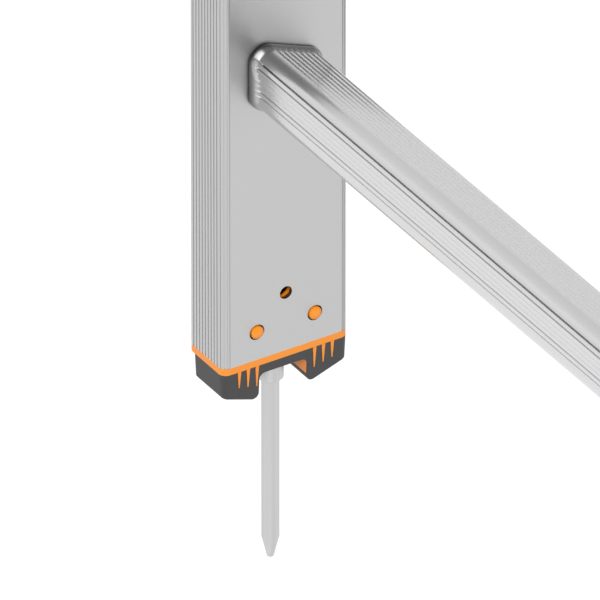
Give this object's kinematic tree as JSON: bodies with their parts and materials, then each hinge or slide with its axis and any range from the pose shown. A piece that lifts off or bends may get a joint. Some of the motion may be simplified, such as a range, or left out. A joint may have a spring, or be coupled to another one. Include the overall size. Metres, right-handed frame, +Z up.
{
  "type": "ladder foot",
  "caption": "Foot end of an aluminium ladder: ribbed box stile with a ribbed rung, a plug-in two-colour plastic foot with snap buttons, and a screwed-in steel ground spike.",
  "frame": {"origin": "middle of the cross bolt hole through the stile and the foot, halfway between the stile's wide faces", "axes": "+Z up the stile, -Y the way the rung leaves the stile and along the cross bolt hole, +X along the stile's wide faces"},
  "size_m": [0.0564, 0.277, 0.2802],
  "materials": {
    "stile_aluminium": "satin extruded",
    "rung_aluminium": "satin extruded",
    "core_plastic": "moulded, orange",
    "sole_rubber": "moulded, dark grey",
    "spike_steel": "turned and zinc plated, dull",
    "nut_steel": "zinc plated"
  },
  "bodies": {
    "ladder_end": {"stile": "stile_aluminium", "rung": "rung_aluminium", "foot_core": "core_plastic", "foot_sole": "sole_rubber", "spike_nut": "nut_steel"},
    "left_latch": {"left_latch": "core_plastic"},
    "right_latch": {"right_latch": "core_plastic"},
    "washer": {"spring_washer": "nut_steel"},
    "spike": {"spike": "spike_steel"}
  },
  "joints": [
    {"name": "left_button_press", "type": "hinge", "parent": "ladder_end", "child": "left_latch", "pos_m": [-0.013, -0.0084, 0.0084], "axis": [1, 0, 0], "range_deg": [0, 10], "stiffness_Nm_per_rad": 0.8},
    {"name": "right_button_press", "type": "hinge", "parent": "ladder_end", "child": "right_latch", "pos_m": [0.013, -0.0084, 0.0084], "axis": [1, 0, 0], "range_deg": [0, 10], "stiffness_Nm_per_rad": 0.8},
    {"name": "spike_travel", "type": "slide", "parent": "ladder_end", "child": "washer", "axis": [0, 0, -1], "range_m": [0, 0.00626]},
    {"name": "spike_turn", "type": "hinge", "parent": "washer", "child": "spike", "pos_m": [0, -0.0012, -0.05], "axis": [0, 0, -1], "range_deg": [0, 1800]}
  ],
  "couplings": [
    {"joint": "spike_travel", "follows": "spike_turn", "m_per_rad": 0.00019894}
  ]
}
